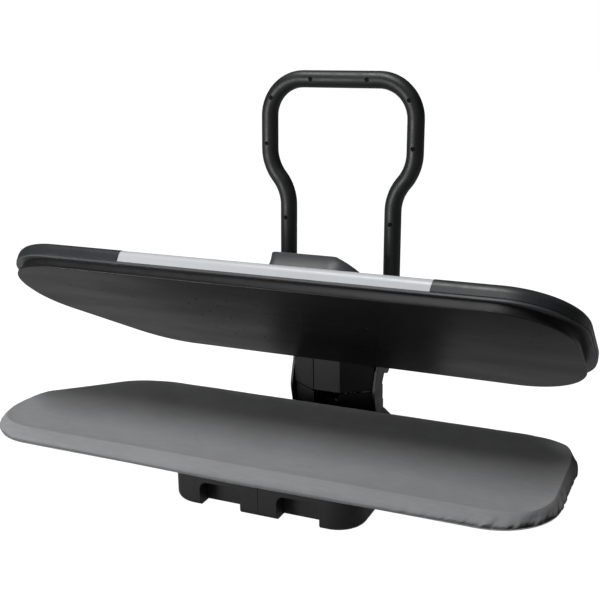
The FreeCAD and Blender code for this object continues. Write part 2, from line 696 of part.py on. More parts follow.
def housing_pieces():
    tank_hole = box("tank_middle - tank_half - 1", "tank_front - 1", "tank_foot", "2 * tank_half + 2",
                    "tank_back - tank_front + 2", "80")
    passage = box("-arm_cover_half + 6", "housing_back - 8", "panel_top + 4",
                  "2 * arm_cover_half - 12", "12", "housing_top - panel_top - 12")
    inside = common(housing_solid("wall"), box("-120", "-20", "panel_top - 1", "240", "140",
                                               "housing_top - panel_top + 1 - wall"))
    node("control_housing", cut(housing_solid("0"), shoulder("0"),
                                cut(inside, shoulder("wall")), tank_hole,
                                cut(passage, shoulder("wall + 6"))), on_shoe)
    node("arm_cover", arm_cover(), on_shoe)
    node("arm_plates", group(arm_plate(-1), arm_plate(1)), on_shoe)
    node("hinge_bushes", bushes("pin_radius + running_gap", "pin_radius + 2", "hinge_back",
                                "hinge_height"), on_shoe)
    node("pivot_bushes", bushes("shaft_radius + running_gap", "shaft_radius + 2", "pivot_back",
                                "pivot_height"), on_shoe)
    node("water_pump", fuse(box("-18", "114", "panel_top + 18", "36", "34", "26"),
                            rod("Y", "8", "46", "0", "108", "panel_top + 31")), on_shoe)
    level, top = "tower_top + guard_gap", "175"
    apron = box("-bevel_inner", "bevel_front + 1.4", level, "2 * bevel_inner", "guard_wall", "70")
    pieces = [(bevel_wall(side, "0", "guard_wall", top, level, "bevel_back - 11"), name)
              for side, name in ((-1, "hinge_guard_left"), (1, "hinge_guard_right"))]
    for piece, name in pieces + [(apron, "hinge_apron")]:
        above = prism("YZ_Plane", [
            ("190", "150"), ("197.1", "150"), ("208.6", "165.9"), ("330", f"{level} - guard_fall"),
            ("330", "220"), ("190", "220")], "200", both_ways=True)
        node(name, cut(piece, above))


def tank_pieces():
    tank = box("tank_middle - tank_half", "tank_front", "tank_foot", "2 * tank_half",
               "tank_back - tank_front", "housing_top - tank_foot")
    room = box("tank_middle - tank_half + 2.5", "tank_front + 2.5", "tank_foot + 2.5", "2 * tank_half - 5",
               "tank_back - tank_front - 5", "housing_top - tank_foot - 5")
    neck = rod("Z", "12", "10", "tank_middle", "tank_front + 24", "housing_top - 6")
    pull = box("tank_middle - 24", "tank_back - 18", "housing_top - 2", "48", "10", "4")
    node("water_tank", cut(tank, room, neck, pull), on_shoe)
    cap = fuse(rod("Z", "11.8", "5", "tank_middle", "tank_front + 24", "housing_top - 2.4"),
               rod("Z", "16", "3", "tank_middle", "tank_front + 24", "housing_top + 0.3"),
               box("tank_middle - 14", "tank_front + 22.5", "housing_top + 3", "28", "3", "3"))
    node("filler_cap", cap, on_shoe)


def control_pieces():
    middle = "button_across - 5"
    panel = prism("XY_Plane", [(f"{middle} - 64", "controls_front - 26"),
                               (f"{middle} + 50", "controls_front - 26"),
                               (f"{middle} + 50", "controls_front + 26"),
                               (f"{middle} - 64", "controls_front + 26")],
                  "panel_thickness", "panel_top")
    rounded_edges(panel, "10", along((0, 0, 1)))
    buttons = ("button_across", "button_across + button_pitch")
    above = "panel_top + panel_thickness"
    lamps = [("button_across", "controls_front + 17"),
             ("button_across + button_pitch", "controls_front + 17")]
    node("control_panel", cut(
        panel, rod("Z", "4.2", "8", "dial_across", "controls_front", "panel_top - 2"),
        *[rod("Z", "button_radius + 0.4", "8", x, "controls_front", "panel_top - 2")
          for x in buttons],
        *[rod("Z", "2", "8", x, y, "panel_top - 2") for x, y in lamps]), on_shoe)
    node("indicator_lamps", group(*[rod("Z", "2", "panel_thickness + 0.8", x, y, "panel_top")
                                    for x, y in lamps]), on_shoe)
    dial = fuse(rod("Z", "dial_radius", "9", "dial_across", "controls_front", f"{above} + 0.4"),
                rod("Z", "3.8", "10", "dial_across", "controls_front", "panel_top - 4"),
                box("dial_across - 1.5", "controls_front - dial_radius + 2", f"{above} + 8",
                    "3", "2 * dial_radius - 4", "4"))
    node("temperature_dial", dial, on_shoe)
    for name, x in zip(("power_button", "steam_button"), buttons):
        node(name, fuse(rod("Z", "button_radius", "6", x, "controls_front",
                            "panel_top + 0.6 + 0.4 * panel_thickness"),
                        rod("Z", "3.6", "8", x, "controls_front", "panel_top - 5")), on_shoe)


# ---------------------------------------------------------------- handle

def loop_path(body):
    """The handle's centre line: two legs, an outward sweep on each side, and a looped top."""
    sketch = new_sketch(body, "XZ_Plane")
    leg, side = number("leg_middle"), number("side_middle")
    straight, start = number("leg_straight"), number("side_start")
    top, round_ = number("loop_top"), number("loop_round")
    foot = number("boss_radius")
    across, rise = side - leg, start - straight
    sweep = (across ** 2 + rise ** 2) / (4 * across)
    turn = math.atan2(across, rise)

    def point(x, z):
        return FreeCAD.Vector(x, z, 0)

    def arc_between(first, last, centre):
        middle = (first + last) / 2 - centre
        return Part.Arc(first, centre + middle.normalize() * (first - centre).Length, last)

    def half_loop(sign):
        knee = point(sign * (leg + across / 2), straight + rise / 2)
        shoulder = point(sign * (side - round_), top)
        return [
            Part.LineSegment(point(sign * leg, foot), point(sign * leg, straight)),
            arc_between(point(sign * leg, straight), knee, point(sign * (leg + sweep), straight)),
            arc_between(knee, point(sign * side, start), point(sign * (side - sweep), start)),
            Part.LineSegment(point(sign * side, start), point(sign * side, top - round_)),
            arc_between(point(sign * side, top - round_), shoulder,
                        point(sign * (side - round_), top - round_)),
        ]

    left, right = half_loop(-1), half_loop(1)
    for curve in left:
        sketch.addGeometry(curve)
    sketch.addGeometry(Part.LineSegment(point(-(side - round_), top), point(side - round_, top)))
    for curve in reversed(right):
        sketch.addGeometry(curve)
    return sketch


def swept(outer, inner=None, half=0):
    """A tube along the handle's path, or only its front (-1) or rear (+1) half."""
    body = document.addObject("PartDesign::Body", "Loop")
    path = loop_path(body)
    profile = new_sketch(body, "XY_Plane", "boss_radius")
    centre = FreeCAD.Vector(-number("leg_middle"), 0, 0)
    up = FreeCAD.Vector(0, 0, 1)
    if not half:
        profile.addGeometry(Part.Circle(centre, up, number(outer)))
        index = profile.addConstraint(Sketcher.Constraint("Radius", 0, number(outer)))
        profile.setExpression(f"Constraints[{index}]", bound(outer))
        fix_point(profile, 0, 3, "-leg_middle", "0")
    else:
        gap = half * 0.15
        for radius in (outer, inner):
            size = number(radius)
            reach = math.sqrt(size ** 2 - gap ** 2)
            ends = [centre + FreeCAD.Vector(sign * reach, gap, 0) for sign in (-1, 1)]
            profile.addGeometry(Part.Arc(ends[0], centre + FreeCAD.Vector(0, half * size, 0),
                                         ends[1]))
        for sign in (-1, 1):
            near = math.sqrt(number(inner) ** 2 - gap ** 2)
            far = math.sqrt(number(outer) ** 2 - gap ** 2)
            profile.addGeometry(Part.LineSegment(
                centre + FreeCAD.Vector(sign * near, gap, 0),
                centre + FreeCAD.Vector(sign * far, gap, 0)))
    pipe = body.newObject("PartDesign::AdditivePipe", "Pipe")
    pipe.Profile = profile
    pipe.Spine = path
    document.recompute()
    return body


SCREW_PLACES = [(sign * x, z) for sign in (-1, 1)
                for x, z in ((49, 401), (120.3, 370), (128.6, 294), (93.5, 170))]


def screw_rods(radius, front, length):
    return [rod("Y", radius, length, str(x), front, str(z)) for x, z in SCREW_PLACES]


def handle_pieces():
    node("handle_core", cut(swept("core_radius"), *screw_rods("1.8", "-20", "40")), on_handle)
    node("handle_front_shell", cut(swept("grip_radius", "grip_bore", -1),
                                   *screw_rods("3.6", "-20", "8.5"),
                                   *screw_rods("1.8", "-20", "18")), on_handle)
    node("handle_rear_shell", cut(swept("grip_radius", "grip_bore", 1),
                                  *screw_rods("1.5", "5", "7.5")), on_handle)
    node("handle_screws", group(*[
        fuse(rod("Y", "3.2", "1.6", str(x), "-13.1", str(z)),
             rod("Y", "1.5", "24", str(x), "-11.6", str(z))) for x, z in SCREW_PLACES]), on_handle)
    bosses, shafts, cranks, pins = [], [], [], []
    for side in (-1, 1):
        start = "boss_inner" if side > 0 else "-boss_outer"
        boss = fuse(side_rod(side, "boss_radius", "boss_inner", "boss_outer - boss_inner", "0", "0"),
                    box(start, "-grip_radius", "0", "boss_outer - boss_inner", "2 * grip_radius",
                        "boss_radius"))
        bosses.append(cut(boss, rod("X", "shaft_radius", "240", "-120")))
        shafts.append(side_rod(side, "shaft_radius", "shaft_inner", "boss_outer - shaft_inner + 1",
                               "0", "0"))
        plate = fuse(side_rod(side, "14", "shaft_inner", "bar_thickness", "0", "0"),
                     side_rod(side, "8", "shaft_inner", "bar_thickness", "crank_back", "crank_up"),
                     side_plate(side, [("-9", "0"), ("9", "0"), ("crank_back + 7", "crank_up"),
                                       ("crank_back - 7", "crank_up")],
                                "shaft_inner", "bar_thickness"))
        cranks.append(cut(plate, rod("X", "shaft_radius", "120", "-60"),
                          rod("X", "crank_pin_radius", "120", "-60", "crank_back", "crank_up")))
        pins.append(side_rod(side, "crank_pin_radius", "link_face - 1.5",
                             "shaft_inner + bar_thickness - link_face + 1.5", "crank_back",
                             "crank_up"))
    node("handle_bosses", group(*bosses), on_handle)
    node("handle_shafts", group(*shafts), on_handle)
    node("crank_plates", group(*cranks), on_handle)
    node("crank_pins", group(*pins), on_handle)


def link_pieces():
    bars = []
    for side in (-1, 1):
        bar = fuse(side_rod(side, "9", "link_face", "bar_thickness", "0", "0"),
                   side_rod(side, "8", "link_face", "bar_thickness", "0", "link_length"),
                   side_plate(side, [("-7", "0"), ("7", "0"), ("6", "link_length"),
                                     ("-6", "link_length")], "link_face", "bar_thickness"))
        bars.append(cut(bar, rod("X", "link_pin_radius + running_gap", "120", "-60"),
                        rod("X", "crank_pin_radius + open_pivot_gap", "120", "-60", "0",
                            "link_length")))
    node("link_bars", group(*bars), on_link)


# ---------------------------------------------------------------- build and write

base_pieces()
board_pieces()
column_pieces()
heated_pieces()
cover_pieces()
housing_pieces()
tank_pieces()
control_pieces()
handle_pieces()
link_pieces()
document.recompute()

failed = [thing.Label for thing in document.Objects
          if {"Invalid", "Error"} & set(thing.State)]
bad = [thing.Label for thing in exports if thing.Shape.isNull() or not thing.Shape.isValid()]
if failed or bad:
    raise RuntimeError(f"objects failed: {failed}, shapes not valid: {bad}")

os.makedirs("parts", exist_ok=True)
for thing in exports:
    thing.Shape.exportStep(f"parts/{thing.Label}.step")
    print(f"{thing.Label}: {len(thing.Shape.Solids)} solids, {thing.Shape.Volume / 1000:.1f} cm3")
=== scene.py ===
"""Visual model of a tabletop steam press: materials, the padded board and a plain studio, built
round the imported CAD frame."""
import math

import bmesh
import bpy
from mathutils import Matrix, Vector, noise


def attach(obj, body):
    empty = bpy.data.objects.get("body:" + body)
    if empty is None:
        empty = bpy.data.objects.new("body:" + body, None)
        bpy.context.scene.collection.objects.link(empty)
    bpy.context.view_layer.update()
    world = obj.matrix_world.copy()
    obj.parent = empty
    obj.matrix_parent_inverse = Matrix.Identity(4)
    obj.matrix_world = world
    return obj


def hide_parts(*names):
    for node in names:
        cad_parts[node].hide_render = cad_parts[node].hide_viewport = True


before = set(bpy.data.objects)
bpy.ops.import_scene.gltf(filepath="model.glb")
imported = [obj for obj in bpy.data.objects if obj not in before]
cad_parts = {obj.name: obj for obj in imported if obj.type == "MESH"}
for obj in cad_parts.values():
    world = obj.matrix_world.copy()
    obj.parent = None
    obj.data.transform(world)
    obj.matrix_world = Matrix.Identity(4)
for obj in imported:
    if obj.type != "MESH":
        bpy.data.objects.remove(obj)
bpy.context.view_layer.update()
MM = 0.001

# ---------------------------------------------------------------- camera, floor and light


def make_camera():
    data = bpy.data.cameras.new("camera")
    data.lens = 61.11
    data.sensor_width = 36
    camera = bpy.data.objects.new("camera", data)
    bpy.context.scene.collection.objects.link(camera)
    roll = -0.0122986
    forward = Vector((-0.39385, 0.88030, -0.26450))
    right = Vector((0.91281, 0.40839, 0.0))
    up = right.cross(forward).normalized()
    across = right * math.cos(roll) + up * math.sin(roll)
    upward = up * math.cos(roll) - right * math.sin(roll)
    turn = Matrix((across, upward, -forward)).transposed().to_4x4()
    camera.matrix_world = Matrix.Translation((0.6252, -1.2988, 0.7117)) @ turn
    bpy.context.scene.camera = camera


def softbox(name, place, target, width, height, power):
    data = bpy.data.lights.new(name, "AREA")
    data.shape = "RECTANGLE"
    data.size, data.size_y = width, height
    data.energy = power
    light = bpy.data.objects.new(name, data)
    bpy.context.scene.collection.objects.link(light)
    light.location = place
    aim = Vector(target) - Vector(place)
    light.rotation_euler = aim.to_track_quat("-Z", "Y").to_euler()


def make_floor():
    """A white sweep that shows and mirrors, and sheds no light on the underside of things."""
    mesh = bpy.data.meshes.new("floor")
    size = 12
    mesh.from_pydata([(-size, -size, 0), (size, -size, 0), (size, size, 0), (-size, size, 0)],
                     [], [(0, 1, 2, 3)])
    floor = bpy.data.objects.new("floor", mesh)
    floor.location.z = -0.0002
    floor.visible_diffuse = False
    bpy.context.scene.collection.objects.link(floor)
    material = bpy.data.materials.new("floor_white")
    material.use_nodes = True
    shader = material.node_tree.nodes["Principled BSDF"]
    shader.inputs["Base Color"].default_value = (0.2, 0.2, 0.2, 1)
    shader.inputs["Roughness"].default_value = 1.0
    shader.inputs["Specular IOR Level"].default_value = 0.0
    shader.inputs["Emission Color"].default_value = (1, 1, 1, 1)
    path = material.node_tree.nodes.new("ShaderNodeLightPath")
    glow = material.node_tree.nodes.new("ShaderNodeMapRange")
    glow.inputs["To Min"].default_value = 0.22
    material.node_tree.links.new(path.outputs["Is Camera Ray"], glow.inputs["Value"])
    material.node_tree.links.new(glow.outputs["Result"], shader.inputs["Emission Strength"])
    mesh.materials.append(material)


def make_sky():
    """White to the eye, and a soft grey dome with a dark underside as a light."""
    world = bpy.data.worlds.new("studio")
    world.use_nodes = True
    tree = world.node_tree
    backdrop = tree.nodes["Background"]
    place = tree.nodes.new("ShaderNodeTexCoord")
    split = tree.nodes.new("ShaderNodeSeparateXYZ")
    tree.links.new(place.outputs["Generated"], split.inputs[0])

    def ramp(axis, start, stop, low, high):
        node = tree.nodes.new("ShaderNodeMapRange")
        for key, value in (("From Min", start), ("From Max", stop),
                           ("To Min", low), ("To Max", high)):
            node.inputs[key].default_value = value
        tree.links.new(split.outputs[axis], node.inputs["Value"])
        return node.outputs["Result"]

    def combine(operation, one, two):
        node = tree.nodes.new("ShaderNodeMath")
        node.operation = operation
        tree.links.new(one, node.inputs[0])
        tree.links.new(two, node.inputs[1])
        return node.outputs[0]

    dome = combine("MULTIPLY", ramp("Z", 0.0, 0.9, 0.01, 0.16), ramp("X", -0.8, 0.8, 1.3, 0.35))
    path = tree.nodes.new("ShaderNodeLightPath")
    strength = combine("MAXIMUM", path.outputs["Is Camera Ray"], dome)
    tree.links.new(strength, backdrop.inputs["Strength"])
    backdrop.inputs["Color"].default_value = (1, 1, 1, 1)
    bpy.context.scene.world = world


def make_studio():
    make_floor()
    make_sky()
    bpy.context.scene.view_settings.view_transform = "Standard"
    softbox("key", (-1.25, -1.7, 0.45), (-0.1, 0, 0.2), 0.8, 0.5, 26)
    softbox("high", (-0.3, -0.42, 2.5), (0, -0.15, 0.2), 1.6, 0.3, 41)


# ---------------------------------------------------------------- materials


class Nodes:
    """A small helper that adds and joins shader nodes."""

    def __init__(self, name):
        self.material = bpy.data.materials.new(name)
        self.material.use_nodes = True
        self.tree = self.material.node_tree
        self.shader = self.tree.nodes["Principled BSDF"]
        self.place = self.tree.nodes.new("ShaderNodeTexCoord").outputs["Object"]

    def add(self, kind, inputs=None, **settings):
        node = self.tree.nodes.new(kind)
        for key, value in settings.items():
            setattr(node, key, value)
        for key, value in (inputs or {}).items():
            if isinstance(value, bpy.types.NodeSocket):
                self.tree.links.new(value, node.inputs[key])
            else:
                node.inputs[key].default_value = value
        return node

    def link(self, output, key):
        self.tree.links.new(output, self.shader.inputs[key])

    def stretched(self, scale):
        return self.add("ShaderNodeVectorMath", {0: self.place, 1: scale},
                        operation="MULTIPLY").outputs[0]

    def noise(self, scale, detail=3.0, rough=0.55, at=None):
        node = self.add("ShaderNodeTexNoise", {"Vector": at or self.place, "Scale": scale,
                                               "Detail": detail, "Roughness": rough})
        return node.outputs["Fac"]

    def remap(self, value, low, high, start=0.3, stop=0.7):
        return self.add("ShaderNodeMapRange",
                        {"Value": value, "From Min": start, "From Max": stop,
                         "To Min": low, "To Max": high}).outputs["Result"]

    def blend(self, factor, one, two):
        node = self.add("ShaderNodeMix", data_type="RGBA")
        for index, value in ((0, factor), (6, one), (7, two)):
            if isinstance(value, bpy.types.NodeSocket):
                self.tree.links.new(value, node.inputs[index])
            else:
                node.inputs[index].default_value = value
        return node.outputs[2]

    def math(self, operation, one, two=0.0):
        return self.add("ShaderNodeMath", {0: one, 1: two}, operation=operation).outputs[0]

    def bump(self, height, strength, distance, under=None):
        inputs = {"Height": height, "Strength": strength, "Distance": distance}
        if under is not None:
            inputs["Normal"] = under
        return self.add("ShaderNodeBump", inputs).outputs["Normal"]

    def soft_edges(self, radius):
        return self.add("ShaderNodeBevel", {"Radius": radius}, samples=4).outputs["Normal"]


def shade(colour, factor):
    """A colour made lighter or darker, with full opacity."""
    return (*[min(1.0, c * factor) for c in colour], 1)


def plastic(name, colour, rough=0.42, spread=0.12, grain=1400, depth=0.00006, edge=0.0008,
            dust=0.25):
    """Moulded plastic: fine spark-eroded grain, slow tone drift, scuffed patches and pale dust."""
    n = Nodes(name)
    drift = n.noise(9, 2)
    patches = n.noise(60, 4, 0.6)
    fine = n.noise(grain, 2, 0.5)
    tone = n.blend(n.remap(drift, 0, 1), shade(colour, 1 - spread), shade(colour, 1 + spread))
    tone = n.blend(n.remap(fine, 0, dust, 0.55, 0.8), tone, shade(colour, 1.6))
    n.link(tone, "Base Color")
    n.link(n.remap(patches, rough - 0.06, rough + 0.08), "Roughness")
    n.link(n.bump(fine, 0.5, depth, n.soft_edges(edge)), "Normal")
    n.shader.inputs["IOR"].default_value = 1.5
    return n.material


def metal(name, colour, rough=0.3, brush=(1, 1, 1), stain=0.2, edge=0.0004, depth=0.00003):
    """Bare or plated metal with drawn lines, stains and uneven gloss."""
    n = Nodes(name)
    lines = n.noise(700, 3, 0.6, n.stretched(brush))
    clouds = n.noise(45, 5, 0.65)
    tone = n.blend(n.remap(clouds, 0, 1, 0.35, 0.65), shade(colour, 1), shade(colour, 1 - stain))
    n.link(tone, "Base Color")
    n.shader.inputs["Metallic"].default_value = 1.0
    n.link(n.math("ADD", n.remap(clouds, rough - 0.06, rough + 0.1),
                  n.remap(lines, -0.04, 0.06)), "Roughness")
    n.link(n.bump(lines, 0.4, depth, n.soft_edges(edge)), "Normal")
    return n.material


def enamel(name, colour, rough=0.4, edge=0.0006):
    """Powder-coated steel: fine orange peel and small chips of lighter primer."""
    n = Nodes(name)
    peel = n.noise(500, 2, 0.5)
    chips = n.noise(160, 6, 0.7)
    tone = n.blend(n.remap(chips, 0, 0.6, 0.68, 0.74), shade(colour, 1), (0.22, 0.22, 0.21, 1))
    tone = n.blend(n.remap(n.noise(20, 3), 0, 0.35), tone, shade(colour, 0.7))
    n.link(tone, "Base Color")
    n.link(n.remap(chips, rough - 0.07, rough + 0.1), "Roughness")
    n.link(n.bump(peel, 0.6, 0.0001, n.soft_edges(edge)), "Normal")
    return n.material


def non_stick(name):
    """The pressing plate's dark non-stick coat: speckled, satin, faintly rubbed."""
    n = Nodes(name)
    colour = (0.012, 0.0122, 0.0128)
    fleck = n.add("ShaderNodeTexVoronoi", {"Vector": n.place, "Scale": 900.0}).outputs["Distance"]
    rub = n.noise(14, 5, 0.6, n.stretched((0.35, 1.6, 1)))
    tone = n.blend(n.remap(rub, 0, 1, 0.35, 0.65), shade(colour, 0.82), shade(colour, 1.22))
    tone = n.blend(n.remap(fleck, 0.35, 0.0, 0.05, 0.3), tone, (0.05, 0.05, 0.05, 1))
    n.link(tone, "Base Color")
    n.link(n.remap(rub, 0.30, 0.42), "Roughness")
    n.shader.inputs["Specular IOR Level"].default_value = 0.32
    n.link(n.bump(fleck, 0.25, 0.00005, n.soft_edges(0.001)), "Normal")
    return n.material


def woven(name, colour, thread=0.0011, rough=0.85, relief=0.00012):
    """Plain-weave cotton: crossing threads on every face, slubs, heather and slight soiling."""
    n = Nodes(name)
    waver = n.noise(70, 2)
    sway = n.add("ShaderNodeTexNoise", {"Vector": n.place, "Scale": 55.0}).outputs["Color"]
    sway = n.add("ShaderNodeVectorMath", {0: sway, 1: (0.0016, 0.0016, 0.0016)},
                 operation="MULTIPLY").outputs[0]
    place = n.add("ShaderNodeVectorMath", {0: n.place, 1: sway}, operation="ADD").outputs[0]
    threads = []
    for axis in "XYZ":
        wave = n.add("ShaderNodeTexWave", {"Vector": place, "Scale": 0.314 / thread,
                                           "Distortion": 0.0}, bands_direction=axis)
        threads.append(wave.outputs["Fac"])
    weave = n.math("MAXIMUM", n.math("MAXIMUM", threads[0], threads[1]), threads[2])
    cross = n.math("MULTIPLY", n.math("MULTIPLY", threads[0], threads[1]), threads[2])
    slub = n.noise(320, 2, 0.5, n.stretched((0.15, 1, 1)))
    cloud = n.noise(11, 4, 0.6)
    tone = n.blend(n.remap(cloud, 0, 1), shade(colour, 0.93), shade(colour, 1.06))
    tone = n.blend(n.remap(slub, 0, 0.5, 0.45, 0.75), tone, shade(colour, 1.18))
    tone = n.blend(n.remap(weave, 0.4, 0.0, 0.0, 0.8), tone, shade(colour, 0.72))
    n.link(tone, "Base Color")
    n.link(n.remap(waver, rough - 0.05, rough + 0.05), "Roughness")
    n.shader.inputs["Sheen Weight"].default_value = 0.12
    n.shader.inputs["Sheen Roughness"].default_value = 0.5
    n.shader.inputs["Specular IOR Level"].default_value = 0.3
    height = n.math("ADD", weave, n.math("MULTIPLY", cross, 0.5))
    n.link(n.bump(n.math("ADD", height, n.math("MULTIPLY", slub, 0.6)), 0.5, relief), "Normal")
    return n.material


def open_foam(name, colour):
    """Open-celled foam, matt and slightly uneven in tone."""
    n = Nodes(name)
    cells = n.add("ShaderNodeTexVoronoi", {"Vector": n.place, "Scale": 1100.0}).outputs["Distance"]
    cloud = n.noise(25, 4)
    tone = n.blend(n.remap(cloud, 0, 1), shade(colour, 0.88), shade(colour, 1.05))
    tone = n.blend(n.remap(cells, 0.6, 0, 0.0, 0.35), tone, shade(colour, 0.5))
    n.link(tone, "Base Color")
    n.shader.inputs["Roughness"].default_value = 0.95
    n.link(n.bump(cells, 0.8, 0.0003), "Normal")
    return n.material


def clear_tank(name, colour):
    """The water tank's smoky see-through plastic."""
    n = Nodes(name)
    cloud = n.noise(30, 3)
    n.link(n.blend(n.remap(cloud, 0, 1), shade(colour, 0.9), shade(colour, 1.1)), "Base Color")
    n.link(n.remap(n.noise(90, 4), 0.12, 0.22), "Roughness")
    n.shader.inputs["Transmission Weight"].default_value = 0.55
    n.shader.inputs["IOR"].default_value = 1.49
    n.link(n.bump(n.noise(400, 2), 0.2, 0.00005, n.soft_edges(0.001)), "Normal")
    return n.material


def lamp_lens(name, colour):
    """The small amber lenses of the lamps, unlit."""
    n = Nodes(name)
    grain = n.noise(1800, 1)
    n.link(n.blend(n.remap(grain, 0, 1), shade(colour, 0.85), shade(colour, 1.1)), "Base Color")
    n.link(n.remap(grain, 0.15, 0.25), "Roughness")
    n.link(n.bump(grain, 0.3, 0.00005), "Normal")
    return n.material


FINISHES = {
    "housing": plastic("housing_charcoal", (0.012, 0.0118, 0.012), 0.5, edge=0.0015),
    "steel": metal("steel_zinc", (0.56, 0.57, 0.58), 0.32, (1, 8, 1)),
    "rubber": plastic("rubber_black", (0.018, 0.018, 0.018), 0.8, grain=900, depth=0.0001),
    "screw": metal("screw_zinc", (0.62, 0.63, 0.64), 0.28),
    "black_plastic": plastic("plastic_black", (0.008, 0.008, 0.0083), 0.46),
    "foam": open_foam("foam_cream", (0.62, 0.56, 0.42)),
    "cover_cloth": woven("cotton_grey", (0.250, 0.252, 0.258)),
    "thread": plastic("thread_grey", (0.16, 0.163, 0.168), 0.8, grain=2500, edge=0.0001),
    "grey_plastic": plastic("plastic_grey", (0.070, 0.076, 0.078), 0.42, edge=0.0015),
    "elastic": woven("elastic_white", (0.55, 0.55, 0.54), 0.0007, 0.8),
    "painted_steel": enamel("steel_painted", (0.030, 0.031, 0.032)),
    "spring_steel": metal("steel_spring", (0.32, 0.32, 0.33), 0.35),
    "platen_coating": non_stick("coating_non_stick"),
    "cast_alloy": metal("alloy_cast", (0.50, 0.50, 0.50), 0.5, depth=0.00012),
    "trim": plastic("trim_grey", (0.080, 0.083, 0.087), 0.38),
    "slate_plastic": plastic("plastic_slate", (0.023, 0.026, 0.027), 0.44, edge=0.0015),
    "silver_plastic": plastic("plastic_silver", (0.54, 0.56, 0.58), 0.36, 0.03, 2200, 0.00003,
                              dust=0.05),
    "bronze": metal("bronze_sintered", (0.55, 0.37, 0.20), 0.4, depth=0.00008),
    "tank_plastic": clear_tank("tank_smoke", (0.30, 0.32, 0.34)),
    "lamp": lamp_lens("lamp_amber", (0.75, 0.32, 0.06)),
    "handle_plastic": plastic("plastic_handle", (0.010, 0.011, 0.0115), 0.46, edge=0.0006),
    "black_screw": metal("screw_black", (0.012, 0.012, 0.012), 0.6),
}


def dress_nodes():
    """Gives every CAD node the finish of its slot."""
    for name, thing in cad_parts.items():
        for entry in thing.material_slots:
            slot = entry.material.name.split(".")[0] if entry.material else ""
            entry.material = FINISHES[slot]


# ---------------------------------------------------------------- mesh helpers


def add_mesh(name, points, faces, finish, body):
    mesh = bpy.data.meshes.new(name)
    mesh.from_pydata([tuple(p) for p in points], [], faces)
    mesh.validate()
    bm = bmesh.new()
    bm.from_mesh(mesh)
    bmesh.ops.recalc_face_normals(bm, faces=bm.faces)
    bm.to_mesh(mesh)
    bm.free()
    for polygon in mesh.polygons:
        polygon.use_smooth = True
    thing = bpy.data.objects.new(name, mesh)
    bpy.context.scene.collection.objects.link(thing)
    mesh.materials.append(FINISHES[finish])
    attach(thing, body)
    return thing


def board_outline(growth, count):
    """Evenly spaced (point, outward normal) pairs round the board's outline, in metres."""
    left, right, half = -457.0, 443.0, 147.0
    nose = math.radians(43.7)
    lean, rise = growth * math.tan(nose / 2), growth * math.tan(math.radians(45) - nose / 2)
    corners = [(left - growth, -half - growth, 97 + growth),
               (right + growth, -half - growth, 94 + growth),
               (right + growth, half + 1.5 + growth, 96 + growth),
               (left + half / math.tan(nose) - lean, half + 1.5 + growth, 134 + growth),
               (left - growth, rise, 93 + growth)]
    dense = []
    for i, (x, y, radius) in enumerate(corners):
        corner = Vector((x, y))
        back = (Vector(corners[i - 1][:2]) - corner).normalized()
        ahead = (Vector(corners[(i + 1) % 5][:2]) - corner).normalized()
        opening = back.angle(ahead) / 2
        centre = corner + (back + ahead).normalized() * radius / math.sin(opening)
        start = corner + back * radius / math.tan(opening) - centre
        sweep = math.pi - 2 * opening
        for k in range(65):
            turn = Matrix.Rotation(sweep * k / 64, 2)
            dense.append(centre + turn @ start)
    lengths = [0.0]
    for i, point in enumerate(dense):
        lengths.append(lengths[-1] + (dense[(i + 1) % len(dense)] - point).length)
    ring, at = [], 0
    for k in range(count):
        goal = lengths[-1] * k / count
        while lengths[at + 1] < goal:
            at += 1
        share = (goal - lengths[at]) / max(lengths[at + 1] - lengths[at], 1e-9)
        here, there = dense[at], dense[(at + 1) % len(dense)]
        ring.append(here.lerp(there, share))
    pairs = []
    for k, point in enumerate(ring):
        along = ring[(k + 1) % count] - ring[k - 1]
        pairs.append((point * MM, Vector((along.y, -along.x)).normalized()))
    return pairs


def spine_point(point):
    """The nearest point of a line along the middle of the board, for rings that close on it."""
    return Vector((max(-0.30, min(0.34, point.x * 0.78)), 0.0))


def fabric_noise(x, y, z, seed):
    return noise.noise(Vector((x, y, z + seed * 17.3)))


def between(value, places):
    """Straight lines through (place, height) pairs."""
    if value <= places[0][0]:
        return places[0][1]
    for (a, low), (b, high) in zip(places, places[1:]):
        if value <= b:
            return low + (high - low) * (value - a) / (b - a)
    return places[-1][1]


def ring_mesh(rows, count):
    """Quads between closed rows of points, and one face that closes the first row."""
    faces = [tuple(reversed(range(count)))]
    for r in range(len(rows) - 1):
        for k in range(count):
            a, b = r * count + k, r * count + (k + 1) % count
            faces.append((a, b, b + count, a + count))
    return [point for row in rows for point in row], faces


# ---------------------------------------------------------------- the cover and the foam

AROUND = 900
TOP_SHARES = (0.02, 0.25, 0.45, 0.62, 0.76, 0.87, 0.94)
ROLL = ((23.5, 108.0), (21.2, 108.4), (18.8, 107.3), (14.5, 105.5), (10, 103.5), (6.5, 101.3),
        (3.8, 98.8), (1.8, 96.2), (0.7, 94.2), (0.2, 92.6), (0.0, 91.2), (0.1, 89.8), (0.6, 88.4))
UNDER = ((1.6, 0.6), (3.2, 1.0), (6.0, 1.1), (10.0, 1.0), (15.0, 0.6), (19.0, 0.4))
SOFT_START = 6          # the first row of ROLL that the cloth simulation may move
TOP_LEVEL, FOAM_LEVEL = 0.108, 0.1062
TOP_INSET = 0.026       # from the outline to where the rolled edge begins
BAND_TOP, BAND_DEPTH = 0.1015, 0.0131
HEM_LIFT = 0.0012
UNDER_LEVEL = 0.0872    # the strip turned in under the pan
MOST_SHIFT = 0.002
CLOTH_STEPS, QUICK_STEPS = 18, 4
LOOSE_FROM = 0.101      # gather strength above which the band is simulated


def hem_level(x):
    """How low the band hangs along the board; the elastic lifts it at the ends."""
    return between(x, ((-0.457, 0.0915), (-0.25, 0.0905), (0.0, 0.0868), (0.18, 0.0885),
                       (0.367, 0.0918), (0.443, 0.0915)))


